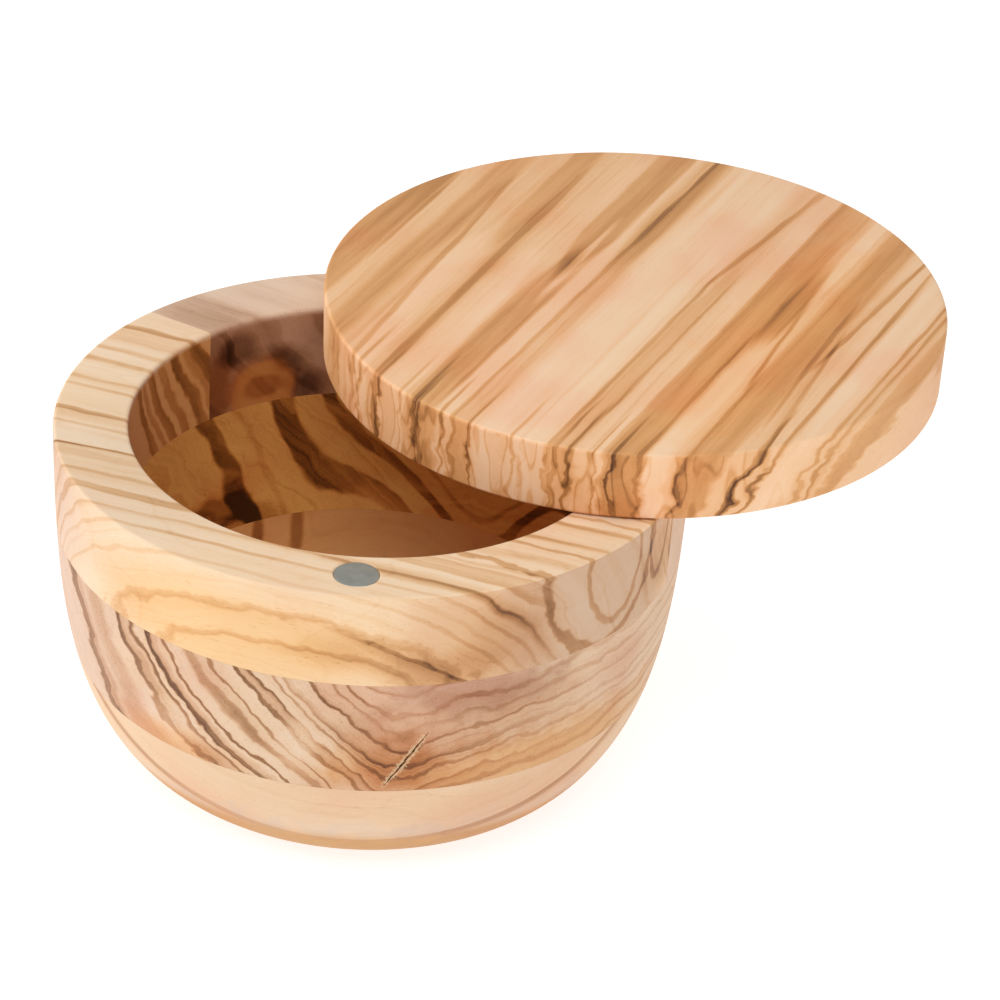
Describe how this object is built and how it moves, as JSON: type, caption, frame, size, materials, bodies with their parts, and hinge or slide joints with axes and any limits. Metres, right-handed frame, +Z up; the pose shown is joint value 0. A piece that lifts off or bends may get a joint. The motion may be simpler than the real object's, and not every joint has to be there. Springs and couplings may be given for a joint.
{
  "type": "salt box",
  "caption": "Round turned wooden salt box with a flat wooden lid that swivels on an upright pin in the rim and closes on a magnet.",
  "frame": {"origin": "centre of the flat foot, on the bowl's axis, in the plane that the box stands on", "axes": "+Z up along the bowl's axis; the rim magnet is at -Y, the front, and the lid's pin is at +Y, the back"},
  "size_m": [0.1604, 0.1445, 0.081],
  "materials": {
    "base_wood": "oiled, plain pale olive wood",
    "middle_wood": "oiled, strongly figured olive wood",
    "rim_wood": "oiled, striped yellow olive wood",
    "rim_back_wood": "oiled, plain pinkish olive wood",
    "lid_wood": "oiled, striped olive wood",
    "magnet": "satin nickel plate",
    "pin_steel": "ground stainless steel",
    "washer": "plain nylon"
  },
  "bodies": {
    "bowl": {"base_block": "base_wood", "middle_ring": "middle_wood", "rim_front_board": "rim_wood", "rim_back_board": "rim_back_wood", "rim_magnet": "magnet", "pivot_pin": "pin_steel", "pivot_washer": "washer"},
    "lid": {"lid_board": "lid_wood", "lid_magnet": "magnet"}
  },
  "joints": [
    {"name": "lid_swivel", "type": "hinge", "parent": "bowl", "child": "lid", "pos_m": [0, 0.05, 0.0676], "axis": [0, 0, 1], "range_deg": [-66.3, 293.7]}
  ]
}
